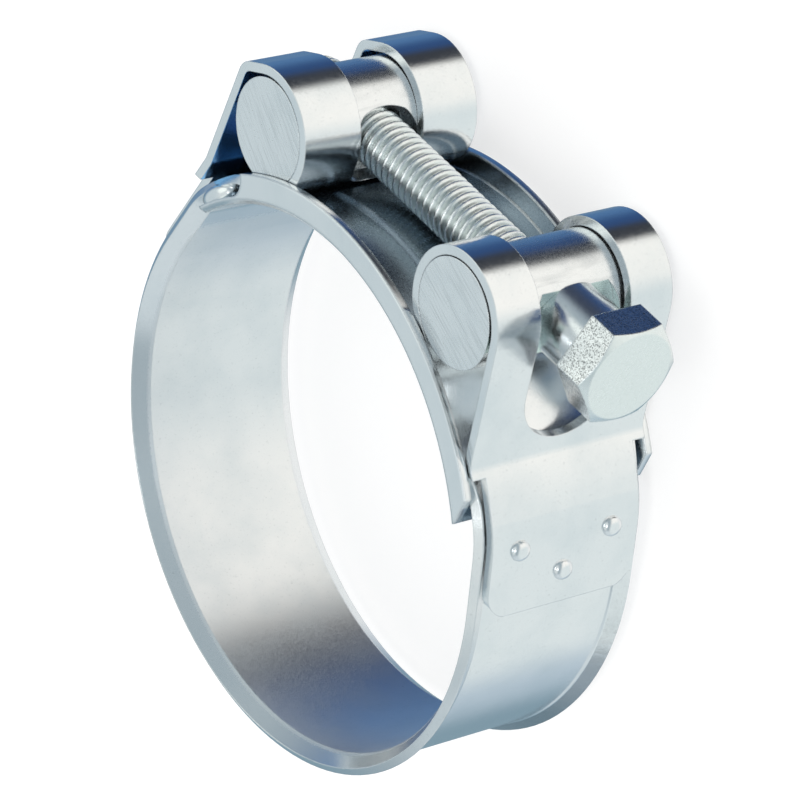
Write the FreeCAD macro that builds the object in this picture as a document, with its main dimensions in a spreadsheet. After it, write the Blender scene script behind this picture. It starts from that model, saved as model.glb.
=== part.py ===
import FreeCAD, Part
import math
import os

# A heavy-duty hose clamp closed by one bolt. A flat steel strip is bent round the
# hose, folded back over two cross pins and joined to itself by pressed buttons.
# A channel-shaped bridge closes the gap under the bolt. Millimetres, +Z along the
# hose, +Y towards the bolt, +X towards the bolt's head, origin at the bore's centre.

Vector = FreeCAD.Vector
origin = Vector(0, 0, 0)
along_hose = Vector(0, 0, 1)

# Driving dimensions: each one is a cell of the sheet, with its name as the alias.
driving_sizes = [
    ("bore_radius", 28.5, "inside radius of the closed clamp"),
    ("sheet_thick", 1.0, "thickness of the strip"),
    ("crease_half", 8.4, "half width of the strip between the turned-up edges"),
    ("flare_width", 2.1, "width of each turned-up edge"),
    ("flare_angle", 35.0, "degrees that the edges turn up"),
    ("bridge_thick", 0.8, "thickness of the bridge plate"),
    ("bridge_start", 28.5, "degrees round the bore where the bridge starts, head side"),
    ("bridge_finish", 138.0, "degrees where the bridge ends, nut side"),
    ("flange_finish", 121.5, "degrees where the side flanges end, nut side"),
    ("flange_rise", 3.1, "height of the flanges above the bore"),
    ("flange_hollow", 2.0, "inside corner radius where a flange ends"),
    ("flange_slant", 4.5, "degrees that the flanges slant back at the head side"),
    ("panel_half", 5.0, "half width of the raised middle of the bridge"),
    ("panel_rise", 0.35, "height of the raised middle"),
    ("panel_start", 56.0, "degrees where the raised middle starts"),
    ("panel_finish", 109.0, "degrees where the raised middle ends"),
    ("panel_edge", 0.3, "chamfer round the raised middle"),
    ("bridge_bend", 0.55, "chamfer along the bridge's two bends"),
    ("side_clearance", 0.15, "between the strip and a flange"),
    ("nest_clearance", 0.05, "between the bridge and the strip over it"),
    ("pin_radius", 5.5, "radius of both cross pins"),
    ("pin_lift", 4.35, "height of the bolt's line over the top of the bore"),
    ("fold_clearance", 0.0502, "spare reach of the strip between the bridge and the nut side loop"),
    ("plain_pin_reach", 17.6, "from the middle plane to the plain pin"),
    ("loop_clearance", 0.2, "between a pin and the strip round it"),
    ("loop_shift", 0.17, "how far the bolt pulls each pin towards the gap"),
    ("head_step_angle", 10.5, "degrees where the strip steps out, head side"),
    ("nut_step_angle", 23.6, "the same on the nut side, from the other end"),
    ("step_bend", 10.0, "inside bend radius at the top of each step"),
    ("tail_rise", 1.7, "from the strip's inside to the tail's inside"),
    ("head_leg_lean", 2.5, "degrees that the head side leg leans out"),
    ("nut_leg_lean", 11.0, "degrees that the nut side leg leans out"),
    ("nut_crown_angle", 65.0, "degrees where the nut side loop turns straight"),
    ("nut_crown_run", 2.2, "straight run before the corner of that loop"),
    ("corner_bend", 1.8, "middle bend radius of that corner"),
    ("kink_bend", 2.6, "middle bend radius where a leg meets its tail"),
    ("tail_half", 8.95, "half width of the tails"),
    ("tail_corner", 3.0, "corner radius of the tails"),
    ("head_shoulder", 13.95, "from the bolt's line down to where the head side tail narrows"),
    ("nut_shoulder", 11.35, "the same on the nut side"),
    ("head_fade_delay", 2.0, "degrees past the step where the edges start to flatten"),
    ("nut_fade_delay", 9.0, "degrees past the bridge's end where they start, nut side"),
    ("fade_margin", 0.5, "degrees of flat strip before a loop"),
    ("head_tail_end", 9.5, "degrees where the head side tail ends"),
    ("nut_tail_end", 16.0, "degrees where the nut side tail ends"),
    ("button_radius", 1.05, "radius of a pressed button"),
    ("button_proud", 0.3, "how far a button stands out"),
    ("button_side", 5.6, "from the middle to the outer buttons"),
    ("button_high", 6.4, "from the start of the step to the outer buttons"),
    ("button_low", 3.0, "from the start of the step to the middle button"),
    ("button_edge", 0.24, "chamfer round a button"),
    ("button_root", 0.25, "from the strip's inside to a button's root"),
    ("head_slot_half", 5.4, "half width of the head side slot"),
    ("nut_slot_half", 3.8, "half width of the nut side slot"),
    ("head_slot_drop", 11.65, "from the bolt's line down to the foot of the head side slot"),
    ("nut_slot_drop", 8.25, "the same on the nut side"),
    ("gap_slot_drop", 5.25, "the same where both slots end on the gap side"),
    ("slot_flat", 0.1, "flat between the round corners of a slot's foot"),
    ("bolt_radius", 3.0, "outside radius of the thread"),
    ("bolt_reach", 50.0, "length under the head"),
    ("bolt_chamfer", 0.8, "chamfer of the bolt's tip"),
    ("head_flats", 10.0, "across the flats of the head"),
    ("head_height", 4.0, "height of the head"),
    ("crown_radius", 4.75, "radius of the flat on top of the head"),
    ("crown_slope", 30.0, "degrees of the chamfer round that flat"),
    ("thread_clearance", 0.05, "in the threaded bore"),
    ("bore_clearance", 0.2, "in the plain bore and the sleeve"),
    ("mouth_radius", 4.0, "radius of the threaded bore's mouth"),
    ("mouth_inset", 1.0, "from the pin's crest to the bottom of the mouth"),
    ("sleeve_radius", 4.0, "outside radius of the spacer sleeve"),
    ("sleeve_reach", 6.0, "length of the spacer sleeve"),
    ("seat_reach", 4.2, "from the plain pin's axis to its milled seat"),
    ("seat_radius", 5.3, "radius of the milled seat"),
    ("overshoot", 1.0, "how far a cutter runs past what it cuts"),
]

doc = FreeCAD.newDocument("hose_clamp")
sizes = doc.addObject("Spreadsheet::Sheet", "sizes")
for row, (alias, value, note) in enumerate(driving_sizes, start=1):
    sizes.set("A%d" % row, str(value))
    sizes.set("B%d" % row, note)
    sizes.setAlias("A%d" % row, alias)
doc.recompute()


# A size as a plain number.
def size(alias):
    return float(sizes.get(alias))


# Ties the properties of an object to the sheet.
def bind(thing, **formulas):
    for name, formula in formulas.items():
        thing.setExpression(name, formula)


# A unit vector at an angle in the XY plane.
def direction(degrees):
    angle = math.radians(degrees)
    return Vector(math.cos(angle), math.sin(angle), 0)


# Travel down the clamp's side, leaning out by an angle.
def downward(lean):
    angle = math.radians(lean)
    return Vector(math.sin(angle), -math.cos(angle), 0)


def left_of(heading):
    return Vector(-heading.y, heading.x, 0)


# The paths below are lists of ("line", from, to) and ("arc", centre, radius, from, to)
# along the middle of the sheet, each tangent to the next, head side up: the nut side
# is drawn the same way and mirrored.
def offset_edge(element, distance):
    if element[0] == "line":
        shift = left_of((element[2] - element[1]).normalize()) * distance
        return Part.makeLine(element[1] + shift, element[2] + shift)
    _, centre, radius, first, last = element
    radius = radius - distance if last > first else radius + distance
    points = [centre + direction(angle) * radius for angle in (first, (first + last) / 2, last)]
    return Part.Arc(*points).toShape()


def edge_ends(element, distance):
    edge = offset_edge(element, distance)
    return edge.valueAt(edge.FirstParameter), edge.valueAt(edge.LastParameter)


# A bent sheet: the path thickened to both sides and extruded along the hose.
def bent_sheet(path, thick, half_width):
    sides = [[offset_edge(element, side * thick / 2) for element in path] for side in (1, -1)]
    caps = []
    for element, end in ((path[0], 0), (path[-1], 1)):
        caps.append(Part.makeLine(edge_ends(element, thick / 2)[end], edge_ends(element, -thick / 2)[end]))
    outline = Part.Wire(Part.__sortEdges__(sides[0] + sides[1] + caps))
    solid = Part.Face(outline).extrude(Vector(0, 0, 2 * half_width))
    solid.translate(Vector(0, 0, -half_width))
    return solid


# A plate seen along X: its outline in Y and Z, with rounded corners, as a long prism.
def prism_along_x(corners, radii, x_low, x_high):
    points = [Vector(x_low, y, z) for y, z in corners]
    edges = []
    ends = []
    count = len(points)
    for i, point in enumerate(points):
        before = (points[i - 1] - point).normalize()
        after = (points[(i + 1) % count] - point).normalize()
        if radii[i] == 0:
            ends.append((point, point))
            continue
        half_angle = before.getAngle(after) / 2
        run = radii[i] / math.tan(half_angle)
        centre = point + (before + after).normalize() * (radii[i] / math.sin(half_angle))
        first = point + before * run
        last = point + after * run
        middle = centre + (point - centre).normalize() * radii[i]
        edges.append(Part.Arc(first, middle, last).toShape())
        ends.append((first, last))
    for i in range(count):
        start = ends[i][1]
        finish = ends[(i + 1) % count][0]
        if start.distanceToPoint(finish) > 1e-6:
            edges.append(Part.makeLine(start, finish))
    return Part.Face(Part.Wire(Part.__sortEdges__(edges))).extrude(Vector(x_high - x_low, 0, 0))


bore_radius = size("bore_radius")
sheet_thick = size("sheet_thick")
half_sheet = sheet_thick / 2
crease_half = size("crease_half")
flare_width = size("flare_width")
strip_half = crease_half + flare_width
bridge_outside = bore_radius + size("bridge_thick")
nest_radius = bridge_outside + size("nest_clearance")
step_bend = size("step_bend")
tail_middle = size("tail_rise") + half_sheet
loop_middle = size("pin_radius") + size("loop_clearance") + half_sheet
pin_height = bore_radius + size("pin_lift")
overshoot = size("overshoot")
trim_width = 2 * (strip_half + size("side_clearance") + size("bridge_thick") + overshoot)
nest_middle = nest_radius + half_sheet
nut_reach = math.sqrt((nest_middle + loop_middle + size("fold_clearance")) ** 2 - pin_height ** 2)

# The step that lifts the strip over the bridge: a straight run, tangent to the bore,
# then a bend that meets the circle round the bridge.
step_run = math.sqrt((nest_radius - step_bend) ** 2 - (bore_radius - step_bend) ** 2)
step_turn = math.degrees(math.atan2(step_run, bore_radius - step_bend))


def step_bend_centre(step_angle):
    return direction(step_angle) * (bore_radius - step_bend) + direction(step_angle + 90) * step_run


# The strip's cross-section, standing on a point of its inside with its edges turned up.
def strip_section(foot, normal, turn):
    angle = math.radians(turn)
    mitre = sheet_thick * math.tan(angle / 2)
    edge_rise = flare_width * math.sin(angle)
    edge_reach = crease_half + flare_width * math.cos(angle)
    half = [
        (0, crease_half),
        (edge_rise, edge_reach),
        (edge_rise + sheet_thick * math.cos(angle), edge_reach - sheet_thick * math.sin(angle)),
        (sheet_thick, crease_half - mitre),
    ]
    outline = half + [(rise, -reach) for rise, reach in reversed(half)]
    points = [foot + normal * rise + along_hose * reach for rise, reach in outline]
    return Part.makePolygon(points + points[:1])


# One end of the ring, on its way over the bridge: the straight run, the bend, and the
# stretch in which the turned-up edges flatten out before the strip folds into the loop.
def step_solids(step_angle, fade_start, fade_finish):
    normal = direction(step_angle)
    foot = normal * bore_radius
    section = Part.Face(strip_section(foot, normal, size("flare_angle")))
    run = section.extrude(direction(step_angle + 90) * step_run)
    section.translate(direction(step_angle + 90) * step_run)
    bend = section.revolve(step_bend_centre(step_angle), along_hose, step_turn)
    nest_start = direction(step_angle + step_turn)
    flared = Part.Face(strip_section(nest_start * nest_radius, nest_start, size("flare_angle")))
    solids = [run, bend, flared.revolve(origin, along_hose, fade_start - step_angle - step_turn)]
    wires = []
    stations = 6
    for i in range(stations + 1):
        share = i / stations
        turn = size("flare_angle") * (1 - share * share * (3 - 2 * share))
        outward = direction(fade_start + (fade_finish - fade_start) * share)
        wires.append(strip_section(outward * nest_radius, outward, turn))
    solids.append(Part.makeLoft(wires, True, False))
    return solids


# Where the strip leaves the bridge for a loop, as an angle round the bore.
def leaving_angle(loop_centre):
    reach = loop_centre.Length
    return math.degrees(math.atan2(loop_centre.y, loop_centre.x)
                        - math.acos((nest_middle + loop_middle) / reach))


# The bends of the strip from the bridge over the gap side of a loop to its crown.
def rising_path(loop_centre, fold_start, crown_angle):
    leave = leaving_angle(loop_centre)
    outward = direction(leave)
    return [
        ("arc", origin, nest_middle, fold_start, leave),
        ("line", outward * nest_middle, loop_centre - outward * loop_middle),
        ("arc", loop_centre, loop_middle, leave + 180, crown_angle),
    ]


# The head side: a round loop, an almost upright leg, and a tail that kicks out at the
# bridge's circle and then follows the strip below it down past the step.
head_loop_centre = Vector(size("plain_pin_reach") + size("loop_shift"), pin_height, 0)
head_step = size("head_step_angle")
head_fade_start = head_step + step_turn + size("head_fade_delay")
head_fade_finish = leaving_angle(head_loop_centre) - size("fade_margin")


def head_path():
    lean = size("head_leg_lean")
    kink = size("kink_bend")
    heading = downward(lean)
    sideways = left_of(heading)
    leg_top = head_loop_centre + direction(lean) * loop_middle
    tail_circle = nest_radius + tail_middle
    offset_start = leg_top + sideways * kink
    along = offset_start.dot(heading)
    reach = along * along - offset_start.dot(offset_start) + (tail_circle + kink) ** 2
    kink_centre = offset_start + heading * (-along - math.sqrt(reach))
    kink_angle = math.degrees(math.atan2(kink_centre.y, kink_centre.x))
    bend_centre = step_bend_centre(head_step)
    bend_start = head_step + step_turn
    step_side = direction(head_step + 90) * step_run
    step_foot = direction(head_step) * (bore_radius + tail_middle)
    return rising_path(head_loop_centre, head_fade_finish, lean) + [
        ("line", leg_top, kink_centre - sideways * kink),
        ("arc", kink_centre, kink, 180 + lean, 180 + kink_angle),
        ("arc", origin, tail_circle, kink_angle, bend_start),
        ("arc", bend_centre, step_bend + tail_middle, bend_start, head_step),
        ("line", step_foot + step_side, step_foot),
        ("arc", origin, bore_radius + tail_middle, head_step, size("head_tail_end")),
    ]


# The nut side: a loop as near the middle as the strip lets it stand, straight from its
# crown into a tight corner, a leg that leans out, and a tail along the step's straight run.
nut_loop_centre = Vector(nut_reach, pin_height, 0)
nut_step = size("nut_step_angle")
nut_fade_start = 180 - size("bridge_finish") + size("nut_fade_delay")
nut_fade_finish = leaving_angle(nut_loop_centre) - size("fade_margin")


def nut_path():
    crown = size("nut_crown_angle")
    lean = size("nut_leg_lean")
    corner = size("corner_bend")
    kink = size("kink_bend")
    crown_end = nut_loop_centre + direction(crown) * loop_middle
    corner_start = crown_end + downward(crown) * size("nut_crown_run")
    corner_centre = corner_start - direction(crown) * corner
    leg_top = corner_centre + direction(lean) * corner
    heading = downward(lean)
    step_foot = direction(nut_step) * (bore_radius + tail_middle)
    drop = (bore_radius + tail_middle - leg_top.dot(direction(nut_step))) / heading.dot(direction(nut_step))
    meeting = leg_top + heading * drop
    setback = kink * math.tan(math.radians(nut_step - lean) / 2)
    kink_start = meeting - heading * setback
    kink_centre = kink_start + left_of(heading) * kink
    kink_end = meeting + downward(nut_step) * setback
    return rising_path(nut_loop_centre, nut_fade_finish, crown) + [
        ("line", crown_end, corner_start),
        ("arc", corner_centre, corner, crown, lean),
        ("line", leg_top, kink_start),
        ("arc", kink_centre, kink, 180 + lean, 180 + nut_step),
        ("line", kink_end, step_foot),
        ("arc", origin, bore_radius + tail_middle, nut_step, size("nut_tail_end")),
    ]


# The plate outline of a folded end seen along X: full width down to the shoulders, then
# the narrower tail with rounded corners.
def folded_end(path, shoulder, tail_end):
    folded = bent_sheet(path, sheet_thick, strip_half)
    tail_half = size("tail_half")
    full_half = strip_half + overshoot
    foot = (bore_radius + tail_middle - half_sheet) * math.sin(math.radians(tail_end))
    crown = pin_height + 2 * loop_middle
    corners = [
        (crown, -full_half), (shoulder, -full_half), (shoulder, -tail_half), (foot, -tail_half),
        (foot, tail_half), (shoulder, tail_half), (shoulder, full_half), (crown, full_half),
    ]
    corner = size("tail_corner")
    radii = [0, 0, 0, corner, corner, 0, 0, 0]
    return folded.common(prism_along_x(corners, radii, 0, 2 * bore_radius))


# A slot from the gap side over the crown and down the leg. Each cutter is a plate with
# round lower corners; the leg's own cutter stays a sheet clear of the strip under it, and
# the last one keeps the leg off what passes through the slot.
def slot_cutters(loop_centre, half, leg_drop, passing_radius):
    crown = pin_height + 2 * loop_middle
    leg_foot = pin_height - leg_drop
    round_foot = half - size("slot_flat") / 2
    leg_inside = math.sqrt((nest_radius + sheet_thick) ** 2 - leg_foot ** 2) + sheet_thick
    gap_foot = pin_height - size("gap_slot_drop")
    gap_side = loop_centre.x - loop_middle - sheet_thick
    far_side = loop_centre.x + 2 * loop_middle
    cutters = []
    for x_low, x_high, foot in ((gap_side, loop_centre.x, gap_foot), (leg_inside, far_side, leg_foot)):
        corners = [(crown, -half), (foot, -half), (foot, half), (crown, half)]
        cutters.append(prism_along_x(corners, [0, round_foot, round_foot, 0], x_low, x_high))
    over_foot = Vector(gap_side, pin_height, -half)
    cutters.append(Part.makeBox(far_side - gap_side, 2 * loop_middle, 2 * half, over_foot))
    room = passing_radius + size("bore_clearance")
    room_foot = Vector(loop_centre.x, pin_height - room, -half)
    cutters.append(Part.makeBox(2 * loop_middle, 2 * loop_middle + room, 2 * half, room_foot))
    return cutters


# The pressed buttons that hold a tail to the strip.
def buttons(step_angle):
    normal = direction(step_angle)
    side = direction(step_angle + 90)
    inner = bore_radius + size("button_root")
    outer = bore_radius + tail_middle + half_sheet + size("button_proud")
    radius = size("button_radius")
    high = size("button_high")
    solids = []
    for along, across in ((high, size("button_side")), (high, -size("button_side")), (size("button_low"), 0)):
        foot = normal * inner + side * along + along_hose * across
        crest = Part.makeCylinder(radius, outer - inner, foot, normal)
        rim = [edge for edge in crest.Edges if edge.CenterOfMass.dot(normal) > outer - 1e-3]
        solids.append(crest.makeChamfer(size("button_edge"), rim))
    return solids


def mirrored(solids):
    return [solid.mirror(origin, Vector(1, 0, 0)) for solid in solids]


def band_shape():
    ring_section = Part.Face(strip_section(direction(180 - nut_step) * bore_radius,
                                           direction(180 - nut_step), size("flare_angle")))
    ring = ring_section.revolve(origin, along_hose, 180 + nut_step + head_step)
    head_end = folded_end(head_path(), pin_height - size("head_shoulder"), size("head_tail_end"))
    for cutter in slot_cutters(head_loop_centre, size("head_slot_half"), size("head_slot_drop"),
                               size("sleeve_radius")):
        head_end = head_end.cut(cutter)
    nut_end = folded_end(nut_path(), pin_height - size("nut_shoulder"), size("nut_tail_end"))
    for cutter in slot_cutters(nut_loop_centre, size("nut_slot_half"), size("nut_slot_drop"),
                               size("bolt_radius")):
        nut_end = nut_end.cut(cutter)
    pieces = step_solids(head_step, head_fade_start, head_fade_finish)
    pieces += [head_end] + buttons(head_step)
    pieces += mirrored(step_solids(nut_step, nut_fade_start, nut_fade_finish))
    pieces += mirrored([nut_end] + buttons(nut_step))
    return ring.fuse(pieces).removeSplitter()


# The bridge: a channel rolled to the bore, with its ends and flanges trimmed.
def channel_section(start_angle):
    outward = direction(start_angle)
    inside = bore_radius
    flange_inside = strip_half + size("side_clearance")
    flange_outside = flange_inside + size("bridge_thick")
    outer_bend = size("bridge_bend")
    top = inside + size("flange_rise")

    def place(radius, reach):
        return outward * radius + along_hose * reach

    half = [
        (inside, flange_outside - outer_bend), (inside + outer_bend, flange_outside),
        (top, flange_outside), (top, flange_inside), (bridge_outside, flange_inside),
    ]
    outline = half + [(radius, -reach) for radius, reach in reversed(half)]
    points = [place(radius, reach) for radius, reach in outline]
    return Part.Face(Part.makePolygon(points + points[:1]))


# A stretch of a ring between two angles, as a cutter or a rib.
def ring_stretch(inner, outer, half, first, last):
    corners = [(inner, -half), (outer, -half), (outer, half), (inner, half)]
    points = [direction(first) * radius + along_hose * reach for radius, reach in corners]
    section = Part.Face(Part.makePolygon(points + points[:1]))
    return section.revolve(origin, along_hose, last - first)


# Cuts both flanges off past an angle, with a round inside corner down to the plate.
def flange_trim(angle):
    hollow = size("flange_hollow")
    far = 2 * size("flange_rise") + bridge_outside
    turn = math.degrees(hollow / bridge_outside)
    centre = direction(angle + turn) * (bridge_outside + hollow)
    wall_foot = direction(angle) * (bridge_outside + hollow)
    plate_start = direction(angle + turn) * bridge_outside
    middle = centre + (direction(angle + turn / 2) * bridge_outside - centre).normalize() * hollow
    end = size("bridge_finish") + overshoot
    plate_angles = (angle + turn, (angle + turn + end) / 2, end)
    far_angles = (end, (angle + end) / 2, angle)
    edges = [
        Part.makeLine(direction(angle) * far, wall_foot),
        Part.Arc(wall_foot, middle, plate_start).toShape(),
        Part.Arc(*[direction(a) * bridge_outside for a in plate_angles]).toShape(),
        Part.makeLine(direction(end) * bridge_outside, direction(end) * far),
        Part.Arc(*[direction(a) * far for a in far_angles]).toShape(),
    ]
    trim = Part.Face(Part.Wire(Part.__sortEdges__(edges))).extrude(along_hose * trim_width)
    trim.translate(along_hose * -trim_width / 2)
    return trim


# The slanting cut across the flanges at the head side.
def flange_slant(angle):
    top = direction(angle + size("flange_slant")) * (bore_radius + size("flange_rise"))
    foot = direction(angle) * bridge_outside
    run = (top - foot) * 2
    back = direction(angle - 90) * bore_radius
    points = [foot, foot + run, foot + run + back, foot + back]
    slant = Part.Face(Part.makePolygon(points + points[:1])).extrude(along_hose * trim_width)
    slant.translate(along_hose * -trim_width / 2)
    return slant


def bridge_shape():
    start = size("bridge_start")
    finish = size("bridge_finish")
    channel = channel_section(start).revolve(origin, along_hose, finish - start)
    channel = channel.cut(flange_trim(size("flange_finish"))).cut(flange_slant(start))
    panel = ring_stretch(bore_radius + size("bridge_thick") / 2, bridge_outside + size("panel_rise"),
                         size("panel_half"), size("panel_start"), size("panel_finish"))
    rim = [edge for edge in panel.Edges
           if all(math.hypot(v.Point.x, v.Point.y) > bridge_outside for v in edge.Vertexes)]
    panel = panel.makeChamfer(size("panel_edge"), rim)
    return channel.fuse(panel).removeSplitter()


def shape_feature(name, shape):
    feature = doc.addObject("Part::Feature", name)
    feature.Label = name
    feature.Shape = shape.Solids[0]
    return feature


band = shape_feature("band", band_shape())
bridge = shape_feature("bridge", bridge_shape())

# The pins, the bolt and its sleeve are turned pieces: primitives tied to the sheet.
turn_along_x = FreeCAD.Rotation(Vector(0, 1, 0), 90)
bolt_line = "(sizes.bore_radius + sizes.pin_lift)"
nut_fold = ("(sizes.bore_radius + sizes.bridge_thick + sizes.nest_clearance + sizes.sheet_thick"
            " + sizes.pin_radius + sizes.loop_clearance + sizes.fold_clearance)")
nut_place = "(sizes.loop_shift - sqrt(" + nut_fold + "^2 - " + bolt_line + "^2))"


def place_at(thing, x_formula, z_formula="0", rotation=turn_along_x):
    thing.Placement = FreeCAD.Placement(origin, rotation)
    thing.setExpression("Placement.Base.x", x_formula)
    thing.setExpression("Placement.Base.y", bolt_line)
    thing.setExpression("Placement.Base.z", z_formula)
    return thing


def cylinder(name, radius, height):
    thing = doc.addObject("Part::Cylinder", name)
    bind(thing, Radius=radius, Height=height)
    return thing


def cone(name, first_radius, second_radius, height):
    thing = doc.addObject("Part::Cone", name)
    bind(thing, Radius1=first_radius, Radius2=second_radius, Height=height)
    return thing


def fused(name, *things):
    thing = doc.addObject("Part::MultiFuse", name)
    thing.Shapes = list(things)
    return thing


def cut(name, base, tool):
    thing = doc.addObject("Part::Cut", name)
    thing.Base = base
    thing.Tool = tool
    return thing


# A cross pin, standing along the hose, as long as the strip is wide.
def cross_pin(name, reach_formula):
    pin = cylinder(name, "sizes.pin_radius", "2 * (sizes.crease_half + sizes.flare_width)")
    place_at(pin, reach_formula, z_formula="-(sizes.crease_half + sizes.flare_width)",
             rotation=FreeCAD.Rotation())
    return pin


nut_pin = cross_pin("nut_pin", nut_place)
thread_radius = "sizes.bolt_radius + sizes.thread_clearance"
mouth_depth = "(sizes.mouth_radius - sizes.bolt_radius - sizes.thread_clearance)"
thread_bore = place_at(cylinder("thread_bore", thread_radius, "4 * sizes.pin_radius"),
                       nut_place + " - 2 * sizes.pin_radius")
near_mouth = place_at(cylinder("near_mouth", "sizes.mouth_radius", "sizes.pin_radius"),
                      nut_place + " + sizes.pin_radius - sizes.mouth_inset")
near_cone = place_at(cone("near_cone", thread_radius, "sizes.mouth_radius", mouth_depth),
                     nut_place + " + sizes.pin_radius - sizes.mouth_inset - " + mouth_depth)
far_mouth = place_at(cylinder("far_mouth", "sizes.mouth_radius", "sizes.pin_radius"),
                     nut_place + " - 2 * sizes.pin_radius + sizes.mouth_inset")
far_cone = place_at(cone("far_cone", "sizes.mouth_radius", thread_radius, mouth_depth),
                    nut_place + " - sizes.pin_radius + sizes.mouth_inset")
nut_openings = fused("nut_openings", thread_bore, near_mouth, near_cone, far_mouth, far_cone)
nut_trunnion = cut("nut_trunnion", nut_pin, nut_openings)

plain_pin = cross_pin("plain_pin", "sizes.plain_pin_reach")
clear_radius = "sizes.bolt_radius + sizes.bore_clearance"
clear_bore = place_at(cylinder("clear_bore", clear_radius, "4 * sizes.pin_radius"),
                      "sizes.plain_pin_reach - 2 * sizes.pin_radius")
milled_seat = place_at(cylinder("milled_seat", "sizes.seat_radius", "sizes.pin_radius"),
                       "sizes.plain_pin_reach + sizes.seat_reach")
plain_openings = fused("plain_openings", clear_bore, milled_seat)
plain_trunnion = cut("plain_trunnion", plain_pin, plain_openings)

sleeve_start = "sizes.plain_pin_reach + sizes.seat_reach"
sleeve_outside = cylinder("sleeve_outside", "sizes.sleeve_radius", "sizes.sleeve_reach")
place_at(sleeve_outside, sleeve_start)
sleeve_bore = cylinder("sleeve_bore", clear_radius, "sizes.sleeve_reach + 2 * sizes.overshoot")
place_at(sleeve_bore, sleeve_start + " - sizes.overshoot")
spacer_sleeve = cut("spacer_sleeve", sleeve_outside, sleeve_bore)

head_start = sleeve_start + " + sizes.sleeve_reach"
shank = place_at(cylinder("shank", "sizes.bolt_radius", "sizes.bolt_reach - sizes.bolt_chamfer"),
                 head_start + " - sizes.bolt_reach + sizes.bolt_chamfer")
tip = cone("tip", "sizes.bolt_radius - sizes.bolt_chamfer", "sizes.bolt_radius", "sizes.bolt_chamfer")
place_at(tip, head_start + " - sizes.bolt_reach")
hexagon = doc.addObject("Part::Prism", "hexagon")
hexagon.Polygon = 6
bind(hexagon, Circumradius="sizes.head_flats / 2 / cos(30)", Height="sizes.head_height")
place_at(hexagon, head_start)
crown_foot = "sizes.crown_radius + sizes.head_height / tan(sizes.crown_slope)"
head_crown = cone("head_crown", crown_foot, "sizes.crown_radius", "sizes.head_height")
place_at(head_crown, head_start)
head = doc.addObject("Part::Common", "head")
head.Base = hexagon
head.Tool = head_crown
bolt = fused("bolt", shank, tip, head)
doc.recompute()

pieces = [band, bridge, nut_trunnion, plain_trunnion, spacer_sleeve, bolt]
for thing in doc.Objects:
    if "Invalid" in thing.State or "Error" in thing.State:
        raise RuntimeError("%s failed: %s" % (thing.Name, thing.State))
for piece in pieces:
    shape = piece.Shape
    if shape.isNull() or not shape.isValid() or len(shape.Solids) != 1:
        raise RuntimeError("%s has no sound solid" % piece.Label)

os.makedirs("parts", exist_ok=True)
for piece in pieces:
    piece.Shape.exportStep(os.path.join("parts", piece.Label + ".step"))
    box = piece.Shape.BoundBox
    print("%-15s %8.1f mm3  %7.2f..%.2f  %7.2f..%.2f  %7.2f..%.2f" % (
        piece.Label, piece.Shape.Volume, box.XMin, box.XMax, box.YMin, box.YMax, box.ZMin, box.ZMax))
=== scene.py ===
import bpy
import math
from mathutils import Euler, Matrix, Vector


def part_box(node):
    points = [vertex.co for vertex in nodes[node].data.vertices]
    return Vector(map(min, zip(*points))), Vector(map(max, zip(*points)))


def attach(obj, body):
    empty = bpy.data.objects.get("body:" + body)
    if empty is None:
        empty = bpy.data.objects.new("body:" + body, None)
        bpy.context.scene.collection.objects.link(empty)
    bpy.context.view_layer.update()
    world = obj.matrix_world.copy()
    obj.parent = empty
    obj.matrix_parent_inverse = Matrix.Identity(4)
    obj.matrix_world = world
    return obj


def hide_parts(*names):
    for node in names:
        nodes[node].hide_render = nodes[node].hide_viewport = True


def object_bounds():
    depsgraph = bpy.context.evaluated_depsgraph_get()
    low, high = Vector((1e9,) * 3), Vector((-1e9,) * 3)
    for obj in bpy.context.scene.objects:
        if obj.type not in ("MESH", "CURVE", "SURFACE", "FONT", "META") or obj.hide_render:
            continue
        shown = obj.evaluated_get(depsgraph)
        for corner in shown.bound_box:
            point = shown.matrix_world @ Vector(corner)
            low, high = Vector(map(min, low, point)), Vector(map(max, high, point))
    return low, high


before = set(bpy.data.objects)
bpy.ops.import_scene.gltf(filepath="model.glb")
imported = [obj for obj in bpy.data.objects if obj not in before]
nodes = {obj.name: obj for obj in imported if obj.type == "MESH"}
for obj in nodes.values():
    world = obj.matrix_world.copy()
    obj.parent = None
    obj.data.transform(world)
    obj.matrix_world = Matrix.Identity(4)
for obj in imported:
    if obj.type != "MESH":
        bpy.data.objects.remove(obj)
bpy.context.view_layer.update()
mm = 0.001
print("frame loaded:", len(nodes), "nodes")


# One output of a node, so that masks and shapes can be written as sums and products.
class Field:
    def __init__(self, maker, socket):
        self.maker = maker
        self.socket = socket

    def __add__(self, other):
        return self.maker.math("ADD", self, other)

    def __sub__(self, other):
        return self.maker.math("SUBTRACT", self, other)

    def __mul__(self, other):
        return self.maker.math("MULTIPLY", self, other)

    def __truediv__(self, other):
        return self.maker.math("DIVIDE", self, other)

    def __rsub__(self, other):
        return self.maker.math("SUBTRACT", other, self)

    __radd__ = __add__
    __rmul__ = __mul__


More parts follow.
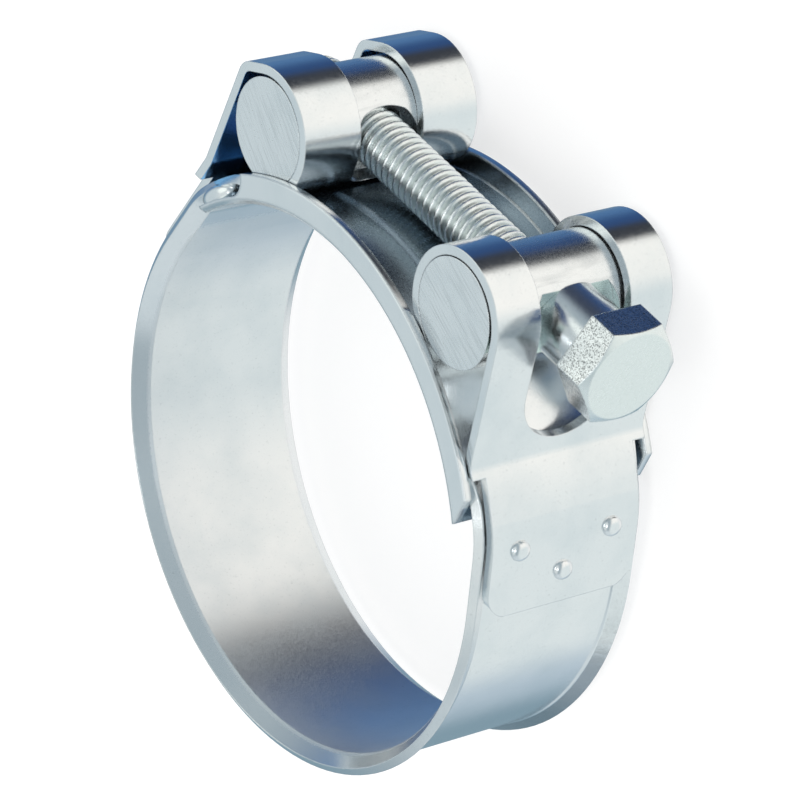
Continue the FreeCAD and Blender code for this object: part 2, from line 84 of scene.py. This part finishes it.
# A node tree under construction: of a material, of the world or of a mesh.
class Maker:
    def __init__(self, tree):
        self.tree = tree
        self.tree.nodes.clear()

    def math(self, operation, first, second=0.0):
        return self.node("ShaderNodeMath", {"operation": operation}, {0: first, 1: second})

    def node(self, kind, settings=None, inputs=None, output=0):
        made = self.tree.nodes.new(kind)
        for name, value in (settings or {}).items():
            setattr(made, name, value)
        for name, value in (inputs or {}).items():
            if isinstance(value, Field):
                self.tree.links.new(value.socket, made.inputs[name])
            else:
                made.inputs[name].default_value = value
        return Field(self, made.outputs[output]) if made.outputs else None

    # The three parts of a vector.
    def parts(self, vector):
        split = self.node("ShaderNodeSeparateXYZ", {}, {0: vector}).socket.node
        return [Field(self, socket) for socket in split.outputs]

    # How far two directions agree: 1 where they are the same.
    def agree(self, first, second):
        return self.node("ShaderNodeVectorMath", {"operation": "DOT_PRODUCT"}, {0: first, 1: second}, "Value")

    # A colour between two, by a mask.
    def blend(self, mask, low, high):
        colours = [value if isinstance(value, Field) else (*value, 1) for value in (low, high)]
        return self.node("ShaderNodeMix", {"data_type": "RGBA"}, {0: mask, 6: colours[0], 7: colours[1]}, 2)

    # A value stretched from one range to another.
    def stretch(self, value, low, high, toLow=0.0, toHigh=1.0):
        return self.node("ShaderNodeMapRange", {}, {0: value, 1: low, 2: high, 3: toLow, 4: toHigh})

    # A mask that rises smoothly from 0 to 1 between two values.
    def soften(self, value, low, high):
        return self.node("ShaderNodeMapRange", {"interpolation_type": "SMOOTHSTEP"}, {
            0: value, 1: low, 2: high})

    def noise(self, place, scale, detail, rough):
        return self.node("ShaderNodeTexNoise", {}, {
            "Vector": place, "Scale": scale, "Detail": detail, "Roughness": rough})


def newMaterial(name):
    material = bpy.data.materials.new(name)
    material.use_nodes = True
    return material, Maker(material.node_tree)


# Zinc plate on steel. Every finish below is this one with its own roughness, pits and marks.
# A detail is a noise's detail and roughness. A range is the part of a noise over which a mask
# rises from 0 to 1, or the roughness from low to high.
zinc = {
    "tint": (0.87, 0.89, 0.90),
    "stain": (0.79, 0.83, 0.85),
    "stainScale": 140.0,
    "stainDetail": (4.0, 0.55),
    "stainRange": (0.42, 0.72),
    "grainScale": 3800.0,
    "grainDetail": (4.0, 0.6),
    "grainHeight": 0.004 * mm,
    "pit": (0.30, 0.33, 0.35),
    "pitRange": (0.60, 0.74),
    "pitShare": 0.2,
    "roughGrain": 0.6,  # the grain's share in the roughness, and the stain has the rest
    "roughRange": (0.35, 0.65),
    "roughLow": 0.12,
    "roughHigh": 0.24,
    "waveScale": 260.0,
    "waveDetail": (2.0, 0.5),
    "waveHeight": 0.01 * mm,
    "edge": 0.18 * mm,
    "edgeSamples": 4,
    "lineTurn": 0.0,
    "lineScale": 4200.0,
    "lineStretch": (0.05, 1.0, 0.05),
    "lineDetail": (2.0, 0.6),
    "lineRange": (0.48, 0.68),
    "lineShare": 0.0,
}


def zincFinish(name, special=None, **changes):
    look = {**zinc, **changes}
    material, m = newMaterial(name)
    place = m.node("ShaderNodeTexCoord", {}, {}, "Object")
    grain = m.noise(place, look["grainScale"], *look["grainDetail"])
    stain = m.noise(place, look["stainScale"], *look["stainDetail"])
    wave = m.noise(place, look["waveScale"], *look["waveDetail"])
    colour = m.blend(m.stretch(stain, *look["stainRange"]), look["tint"], look["stain"])
    colour = m.blend(m.stretch(grain, *look["pitRange"]) * look["pitShare"], colour, look["pit"])
    uneven = grain * look["roughGrain"] + stain * (1 - look["roughGrain"])
    rough = m.stretch(uneven, *look["roughRange"], look["roughLow"], look["roughHigh"])
    if look["lineShare"]:  # saw and die marks in one direction
        turned = m.node("ShaderNodeMapping", {}, {
            "Vector": place, "Rotation": (0, 0, math.radians(look["lineTurn"]))})
        drawn = m.node("ShaderNodeMapping", {}, {"Vector": turned, "Scale": look["lineStretch"]})
        lines = m.noise(drawn, look["lineScale"], *look["lineDetail"])
        colour = m.blend(m.stretch(lines, *look["lineRange"]) * look["lineShare"], colour, look["pit"])
    normal = m.node("ShaderNodeBevel", {"samples": look["edgeSamples"]}, {"Radius": look["edge"]})
    if special:
        colour, rough, normal = special(m, place, colour, rough, normal)
    height = grain * look["grainHeight"] + wave * look["waveHeight"]
    bump = m.node("ShaderNodeBump", {}, {
        "Strength": 1.0, "Distance": 1.0, "Height": height, "Normal": normal})
    shader = m.node("ShaderNodeBsdfPrincipled", {}, {
        "Base Color": colour, "Metallic": 1.0, "Roughness": rough, "Normal": bump})
    m.node("ShaderNodeOutputMaterial", {}, {"Surface": shader})
    return material


# How far a place lies from the clamp's middle line, and the direction out from it.
def awayFromMiddle(m, place):
    flat = m.node("ShaderNodeVectorMath", {"operation": "MULTIPLY"}, {0: place, 1: (1, 1, 0)})
    radius = m.node("ShaderNodeVectorMath", {"operation": "LENGTH"}, {0: flat}, "Value")
    outward = m.node("ShaderNodeVectorMath", {"operation": "NORMALIZE"}, {0: flat})
    return radius, outward


# The strip: duller inside, with a blue painted shade in the fold behind the nut pin, and its
# far edge is lit as if it were flat with the strip beside it.
stripPlaces = {
    "inside": 28.8 * mm,
    "insideRough": 0.2,
    "foldLine": -17.0 * mm,
    "foldRadius": 31.3 * mm,
    "foldFacing": 0.3,
    # The blue of the painted shade in the fold behind the nut pin.
    "foldShade": (0.30, 0.62, 1.0),
    "farCrease": -8.2 * mm,
    "farFacing": (0.68, 0.74),
    "blend": 0.2 * mm,
}


def stripSpecial(m, place, colour, rough, normal):
    size = stripPlaces
    radius, outward = awayFromMiddle(m, place)
    true = m.node("ShaderNodeNewGeometry", {}, {}, "True Normal")
    x, y, height = m.parts(place)
    inside = m.stretch(radius, size["inside"], size["inside"] - size["blend"])
    # A blue painted shade on the inner face of the leg, in the fold behind the nut pin.
    fold = m.math("GREATER_THAN", radius, size["foldRadius"]) * m.math("LESS_THAN", x, size["foldLine"])
    fold = fold * m.math("GREATER_THAN", m.parts(true)[0], size["foldFacing"])
    far = m.stretch(height, size["farCrease"], size["farCrease"] - size["blend"])
    far = far * m.stretch(m.agree(true, outward), *size["farFacing"])
    far = far * m.math("LESS_THAN", radius, size["foldRadius"])
    normal = m.node("ShaderNodeMix", {"data_type": "VECTOR"}, {0: far, 4: normal, 5: outward}, 1)
    return m.blend(fold, colour, size["foldShade"]), rough + inside * size["insideRough"], normal


# The bridge: its trough under the bolt gets a darker, bluer painted shade and is a little duller.
bridgePlaces = {
    "plate": 29.15 * mm,
    "troughHalf": 10.5 * mm,
    "shade": (0.33, 0.40, 0.46),
    "shadeRough": 0.08,
    "blend": 0.1 * mm,
}


def bridgeSpecial(m, place, colour, rough, normal):
    size = bridgePlaces
    radius = awayFromMiddle(m, place)[0]
    height = m.math("ABSOLUTE", m.parts(place)[2])
    trough = m.stretch(radius, size["plate"], size["plate"] + size["blend"])
    trough = trough * m.stretch(height, size["troughHalf"], size["troughHalf"] - size["blend"])
    return m.blend(trough, colour, size["shade"]), rough + trough * size["shadeRough"], normal


# The plain pin: the flat seat milled for the sleeve is greenish.
seatPlaces = {
    "from": 19.0 * mm,
    "facing": 0.99,
    "tint": (0.66, 0.78, 0.75),
}


def seatSpecial(m, place, colour, rough, normal):
    size = seatPlaces
    true = m.node("ShaderNodeNewGeometry", {}, {}, "True Normal")
    seat = m.math("GREATER_THAN", m.parts(true)[0], size["facing"])
    seat = seat * m.math("GREATER_THAN", m.parts(place)[0], size["from"])
    return m.blend(seat, colour, size["tint"]), rough, normal


# The bolt: painted shade in the thread's grooves, speckled on the head's sides, and pale and a
# little duller on its crown.
boltPlaces = {
    "line": 32.85 * mm,
    "root": 2.5 * mm,
    "crest": 2.8 * mm,
    "threadEnd": 21.5 * mm,
    "groove": (0.20, 0.26, 0.25),
    "grooveShadeShare": 0.7,
    "headFoot": 27.9 * mm,
    "speckle": (0.10, 0.11, 0.12),
    "speckleScale": 5600.0,
    "speckleDetail": (3.0, 0.7),
    "speckleRange": (0.50, 0.60),
    "speckleShare": 0.8,
    "crownFacing": 0.7,
    "crownTint": (0.88, 0.93, 0.91),
    "crownShare": 0.8,
    "crownRough": 0.08,
}


def boltSpecial(m, place, colour, rough, normal):
    size = boltPlaces
    x, y, z = m.parts(place)
    y = y - size["line"]
    radius = m.math("SQRT", y * y + z * z)
    groove = m.stretch(radius, size["crest"], size["root"]) * m.math("LESS_THAN", x, size["threadEnd"])
    true = m.node("ShaderNodeNewGeometry", {}, {}, "True Normal")
    crown = m.math("GREATER_THAN", m.parts(true)[0], size["crownFacing"])
    sides = m.math("GREATER_THAN", x, size["headFoot"]) * (1.0 - crown)
    speckle = m.noise(place, size["speckleScale"], *size["speckleDetail"])
    speckle = m.stretch(speckle, *size["speckleRange"])
    # Painted shade darkens the thread's grooves.
    colour = m.blend(groove * size["grooveShadeShare"], colour, size["groove"])
    colour = m.blend(sides * speckle * size["speckleShare"], colour, size["speckle"])
    colour = m.blend(crown * size["crownShare"], colour, size["crownTint"])
    return colour, rough + crown * size["crownRough"], normal


finishes = {
    "band": zincFinish("stripZinc", stripSpecial),
    "bridge": zincFinish("bridgeZinc", bridgeSpecial, edge=0.5 * mm, pitShare=0.05,
                         grainHeight=0.0015 * mm),
    "nut_trunnion": zincFinish("nutPinZinc", roughLow=0.2, roughHigh=0.32, pitShare=0.35,
                               lineTurn=35, lineShare=0.22),
    "plain_trunnion": zincFinish("plainPinZinc", seatSpecial, roughLow=0.2, roughHigh=0.32,
                                 lineTurn=23, lineShare=0.24),
    "spacer_sleeve": zincFinish("sleeveZinc", roughLow=0.17, roughHigh=0.27, pitShare=0.45),
    "bolt": zincFinish("boltZinc", boltSpecial, edge=0.25 * mm, roughLow=0.16, roughHigh=0.3,
                       pitShare=0.4, lineShare=0.3, lineStretch=(0.08, 1.0, 1.0), lineScale=3000.0),
}
for name, finish in finishes.items():
    nodes[name].data.materials.clear()
    nodes[name].data.materials.append(finish)
print("finishes set:", len(finishes))


# The pressed buttons on both tails, as low domes: one profile of reaches and heights, turned
# about each button's axis. A side is the way that a tail faces, in degrees up from the X axis,
# and its hand. A place is how far along and across the tail a button stands. Lengths are in
# millimetres. Where the nut side's fold starts, the strip's turned-up edge is gathered into a
# lump, which is the same profile drawn out.
buttonSizes = {
    "profile": ((0.0, 0.62), (0.45, 0.60), (0.8, 0.50), (1.02, 0.28), (1.08, 0.05), (1.08, -0.4),
                (0.0, -0.4)),
    "surface": 31.2,
    "sides": ((10.5, 1), (23.6, -1)),
    "places": ((6.4, 5.6), (6.4, -5.6), (3.0, 0.0)),
    "around": 24,
    "lump": {"foot": (-21.2, 20.9, 9.3), "outward": (0, 0, 1), "upward": (0.707, 0.707, 0),
             "reach": 2.7, "height": 2.0, "narrow": 0.42},
}


# One profile turned about its axis, added to lists of points and faces.
def addDome(points, faces, foot, upward, outward, side):
    size = buttonSizes
    rings = []
    for reach, height in size["profile"]:
        ring = []
        for i in range(size["around"] if reach else 1):
            turn = 2 * math.pi * i / size["around"]
            spot = foot + outward * height + (upward * math.cos(turn) + side * math.sin(turn)) * reach
            ring.append(len(points))
            points.append([part * mm for part in spot])
        rings.append(ring)
    for upper, lower in zip(rings, rings[1:]):
        for i in range(size["around"]):
            j = (i + 1) % size["around"]
            corners = [upper[i % len(upper)], lower[i % len(lower)], lower[j % len(lower)],
                       upper[j % len(upper)]]
            corners = list(dict.fromkeys(corners))  # three of them where a ring is one point
            faces.append(corners if upward.cross(side).dot(outward) > 0 else corners[::-1])


def makeButtons():
    size = buttonSizes
    points = []
    faces = []
    for step, hand in size["sides"]:
        angle = math.radians(step)
        outward = Vector((math.cos(angle) * hand, math.sin(angle), 0))
        upward = Vector((-math.sin(angle) * hand, math.cos(angle), 0))
        for along, across in size["places"]:
            foot = outward * size["surface"] + upward * along + Vector((0, 0, across))
            addDome(points, faces, foot, upward, outward, Vector((0, 0, 1)))
    lump = size["lump"]
    outward = Vector(lump["outward"])
    upward = Vector(lump["upward"])
    side = outward.cross(upward)
    addDome(points, faces, Vector(lump["foot"]), upward * lump["reach"], outward * lump["height"],
            side * lump["reach"] * lump["narrow"])
    mesh = bpy.data.meshes.new("buttons")
    mesh.from_pydata(points, [], faces)
    mesh.materials.append(finishes["band"])
    mesh.shade_smooth()
    thing = bpy.data.objects.new("pressedButtons", mesh)
    bpy.context.scene.collection.objects.link(thing)
    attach(thing, "clamp")


makeButtons()
print("buttons pressed")


# The bolt, with its rolled thread and the chamfered crown of its head. It runs from the tip
# along +X, and the thread turns right-handed. The ridge is where the wall of a groove starts
# and where it is deepest, in half pitches from the middle of a crest.
boltLow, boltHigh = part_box("bolt")
boltSizes = {
    "line": (boltLow.y + boltHigh.y) / 2,
    "tip": boltLow.x,
    "crown": boltHigh.x,
    "headHeight": 4.0 * mm,
    "headSteps": 72,
    "acrossFlats": 10.0 * mm,
    "crownFlat": 4.75 * mm,
    "crownSlope": 30.0,
    "intoHead": 0.2 * mm,
    "radius": 2.97 * mm,
    "pitch": 1.0 * mm,
    "depth": 0.62 * mm,
    "ridge": (0.18, 0.95),
    "tipRadius": 2.2 * mm,
    "around": 56,
    "perPitch": 9,
}


def threadTree(finish):
    tree = bpy.data.node_groups.new("rolledThread", "GeometryNodeTree")
    made = Maker(tree)
    sockets = tree.interface
    for name in ("Length", "Radius", "Pitch", "Depth", "Tip Radius"):
        sockets.new_socket(name, in_out="INPUT", socket_type="NodeSocketFloat")
    for name in ("Around", "Along"):
        sockets.new_socket(name, in_out="INPUT", socket_type="NodeSocketInt")
    sockets.new_socket("Geometry", in_out="OUTPUT", socket_type="NodeSocketGeometry")
    given = made.node("NodeGroupInput").socket.node
    size = {socket.name: Field(made, socket) for socket in given.outputs if socket.name}
    barrel = made.node("GeometryNodeMeshCylinder", {"fill_type": "TRIANGLE_FAN"}, {
        "Vertices": size["Around"], "Side Segments": size["Along"], "Radius": size["Radius"],
        "Depth": size["Length"]})
    spot = made.node("GeometryNodeInputPosition")
    x, y, z = made.parts(spot)
    lift = z + size["Length"] * 0.5
    turn = made.math("ARCTAN2", y, x) / (2 * math.pi)
    phase = made.math("FRACT", lift / size["Pitch"] - turn + 1.0)
    groove = made.soften(made.math("ABSOLUTE", phase * 2.0 - 1.0), *boltSizes["ridge"])
    wall = size["Radius"] - size["Depth"] * groove
    cone = size["Tip Radius"] + lift
    wall = made.math("MINIMUM", wall, cone)
    onAxis = 0.1 * mm  # the middles of the two ends stay where they are
    reach = made.math("SQRT", x * x + y * y)
    share = wall / made.math("MAXIMUM", reach, onAxis)
    rim = made.math("GREATER_THAN", reach, onAxis)
    scale = 1.0 + (share - 1.0) * rim
    shaped = made.node("ShaderNodeCombineXYZ", {}, {0: x * scale, 1: y * scale, 2: z})
    thread = made.node("GeometryNodeSetPosition", {}, {"Geometry": barrel, "Position": shaped})
    smooth = made.node("GeometryNodeSetShadeSmooth", {}, {"Geometry": thread, "Shade Smooth": True})
    whole = made.node("GeometryNodeRealizeInstances", {}, {"Geometry": smooth})
    painted = made.node("GeometryNodeSetMaterial", {}, {"Geometry": whole, "Material": finish})
    made.node("NodeGroupOutput", {}, {"Geometry": painted})
    return tree


# The plain mesh that a tree makes, with its inputs set by name.
def meshFromTree(name, tree, values):
    holder = bpy.data.objects.new(name + "Holder", bpy.data.meshes.new(name + "Holder"))
    bpy.context.scene.collection.objects.link(holder)
    modifier = holder.modifiers.new("shape", "NODES")
    modifier.node_group = tree
    for item in tree.interface.items_tree:
        if item.in_out == "INPUT" and item.name in values:
            modifier[item.identifier] = values[item.name]
    bpy.context.view_layer.update()
    evaluated = holder.evaluated_get(bpy.context.evaluated_depsgraph_get())
    mesh = bpy.data.meshes.new_from_object(evaluated)
    bpy.data.objects.remove(holder)
    mesh.name = name
    return mesh


# The hexagon head as three rings: its foot, the foot of its chamfer, and the flat crown.
def headMesh(size, finish):
    flat = size["acrossFlats"] / 2
    steps = size["headSteps"]
    sixth = math.pi / 3
    slope = math.tan(math.radians(size["crownSlope"]))
    start = size["crown"] - size["headHeight"]
    points = []
    for ring in range(3):
        for i in range(steps):
            angle = 2 * math.pi * i / steps
            corner = flat / math.cos((angle + sixth / 2) % sixth - sixth / 2)
            reach = size["crownFlat"] if ring == 2 else corner
            x = start if ring == 0 else size["crown"] - (corner - size["crownFlat"]) * slope
            x = size["crown"] if ring == 2 else x
            points.append((x, size["line"] + reach * math.cos(angle), reach * math.sin(angle)))
    faces = [tuple(reversed(range(steps))), tuple(range(2 * steps, 3 * steps))]
    for low in (0, steps):
        for i in range(steps):
            j = (i + 1) % steps
            faces.append((low + i, low + j, low + steps + j, low + steps + i))
    mesh = bpy.data.meshes.new("head")
    mesh.from_pydata(points, [], faces)
    mesh.materials.append(finish)
    return mesh


def makeBolt():
    finish = finishes["bolt"]
    size = boltSizes
    length = size["crown"] - size["headHeight"] - size["tip"] + size["intoHead"]
    shank = meshFromTree("shank", threadTree(finish), {
        "Length": length, "Radius": size["radius"], "Pitch": size["pitch"], "Depth": size["depth"],
        "Tip Radius": size["tipRadius"], "Around": size["around"],
        "Along": int(length / size["pitch"] * size["perPitch"])})
    for vertex in shank.vertices:
        x, y, z = vertex.co
        vertex.co = (size["tip"] + z + length / 2, size["line"] + x, y)
    shankThing = bpy.data.objects.new("threadedShank", shank)
    headThing = bpy.data.objects.new("boltHead", headMesh(size, finish))
    for thing in (shankThing, headThing):
        bpy.context.scene.collection.objects.link(thing)
        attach(thing, "screw")
        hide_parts("bolt")


makeBolt()
print("bolt threaded")


# The studio that the metal reflects, as colours round the horizon in degrees from +X. A
# start is how far up, or down for the ground, a colour begins and is whole. A panel has its
# side, how near to it the colour begins and is whole, and the colour. Then the lamp.
studio = {
    "cream": (1.06, 1.04, 0.99),
    "ice": (0.80, 0.86, 0.86),
    "mist": (0.50, 0.60, 0.68),
    "haze": (0.23, 0.34, 0.41),
    "azure": (0.085, 0.19, 0.38),
    "navy": (0.033, 0.08, 0.21),
    "ink": (0.045, 0.05, 0.06),
    "around": ((0, "ice"), (40, "cream"), (90, "cream"), (107, "ink"), (122, "ink"), (142, "navy"),
               (180, "azure"), (225, "haze"), (258, "haze"), (285, "mist"), (306, "ice")),
    "roof": (0.38, 0.45, 0.49),
    "roofStart": (-0.09, 0.35),
    "roofLight": (0.60, 0.68, 0.71),
    "roofLightSide": (210, 38),
    "roofLightNear": (0.7, 0.95),
    "zenith": (0.74, 0.79, 0.79),
    "zenithStart": (0.62, 0.85),
    "ground": (0.92, 0.93, 0.92),
    "groundStart": (0.72, 0.9),
    "panels": (((157, 50), (0.86, 0.95), (1.08, 1.13, 1.08)),
               ((300, 12), (0.80, 0.95), (0.66, 0.73, 0.76))),
    "white": (1.0, 1.0, 1.0),  # what the camera sees behind the clamp
    "lampSide": (20, 62),
    "lampAway": 0.6,
    "lampSize": 0.2,
    "lampPower": 0.25,
}


# A unit vector towards an azimuth and an elevation.
def towards(side):
    azimuth, elevation = [math.radians(a) for a in side]
    return Vector((math.cos(azimuth) * math.cos(elevation), math.sin(azimuth) * math.cos(elevation),
                   math.sin(elevation)))


def makeWorld():
    world = bpy.data.worlds.new("studio")
    bpy.context.scene.world = world
    world.use_nodes = True
    w = Maker(world.node_tree)
    facing = w.node("ShaderNodeTexCoord", {}, {}, "Generated")
    x, y, z = w.parts(facing)
    azimuth = w.math("FRACT", w.math("ARCTAN2", y, x) / (2 * math.pi) + 1.0) * 360.0
    stops = studio["around"]
    sky = studio[stops[0][1]]
    for (start, before), (end, after) in zip(stops, stops[1:]):
        sky = w.blend(w.soften(azimuth, start, end), sky, studio[after])
    light = w.soften(w.agree(facing, towards(studio["roofLightSide"])), *studio["roofLightNear"])
    roof = w.blend(light, studio["roof"], studio["roofLight"])
    sky = w.blend(w.soften(z, *studio["roofStart"]), sky, roof)
    sky = w.blend(w.soften(z, *studio["zenithStart"]), sky, studio["zenith"])
    for side, near, colour in studio["panels"]:
        sky = w.blend(w.soften(w.agree(facing, towards(side)), *near), sky, colour)
    sky = w.blend(w.soften(z * -1.0, *studio["groundStart"]), sky, studio["ground"])
    mirrored = w.node("ShaderNodeLightPath", {}, {}, "Is Glossy Ray")
    lit = w.node("ShaderNodeBackground", {}, {"Color": w.blend(mirrored, studio["white"], sky)})
    w.node("ShaderNodeOutputWorld", {}, {"Surface": lit})


def makeLamp():
    light = bpy.data.lights.new("softBox", "AREA")
    light.shape = "DISK"
    light.size = studio["lampSize"]
    light.energy = studio["lampPower"]
    lamp = bpy.data.objects.new("softBox", light)
    lamp.location = towards(studio["lampSide"]) * studio["lampAway"]
    lamp.rotation_euler = lamp.location.to_track_quat("Z", "Y").to_euler()
    bpy.context.scene.collection.objects.link(lamp)


# A plain pale floor under the clamp. The metal doesn't reflect it.
floorLook = {
    "reach": 3.0,
    "paint": (0.5, 0.5, 0.5),
    "glow": 0.6,
}


def makeFloor():
    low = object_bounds()[0].z
    reach = floorLook["reach"]
    corners = [(-reach, -reach, low), (reach, -reach, low), (reach, reach, low), (-reach, reach, low)]
    mesh = bpy.data.meshes.new("floor")
    mesh.from_pydata(corners, [], [(0, 1, 2, 3)])
    paint, m = newMaterial("floorPaint")
    matt = m.node("ShaderNodeBsdfPrincipled", {}, {
        "Base Color": (*floorLook["paint"], 1), "Roughness": 1.0, "Specular IOR Level": 0.0,
        "Emission Color": (1, 1, 1, 1), "Emission Strength": floorLook["glow"]})
    m.node("ShaderNodeOutputMaterial", {}, {"Surface": matt})
    mesh.materials.append(paint)
    thing = bpy.data.objects.new("floor", mesh)
    bpy.context.scene.collection.objects.link(thing)
    thing.visible_glossy = False


makeWorld()
makeLamp()
makeFloor()

# The camera, solved from points of the photograph: a long lens from the head's side.
viewpoint = {
    "place": (0.25992, 0.24875, 0.23705),
    "turn": (-18.65, 53.597, 19.538),
    "lens": 189.94,
    "sensor": 36,
    "shiftX": -0.01391,
    "shiftY": -0.05014,
    "nearest": 0.01,
}


def makeCamera():
    camera = bpy.data.objects.new("camera", bpy.data.cameras.new("camera"))
    camera.location = viewpoint["place"]
    camera.rotation_euler = Euler([math.radians(a) for a in viewpoint["turn"]])
    lens = camera.data
    lens.lens = viewpoint["lens"]
    lens.sensor_width = viewpoint["sensor"]
    lens.sensor_fit = "HORIZONTAL"
    lens.shift_x = viewpoint["shiftX"]
    lens.shift_y = viewpoint["shiftY"]
    lens.clip_start = viewpoint["nearest"]
    bpy.context.scene.collection.objects.link(camera)
    bpy.context.scene.camera = camera


makeCamera()
bpy.context.scene.view_settings.view_transform = "Standard"
print("studio and camera set")
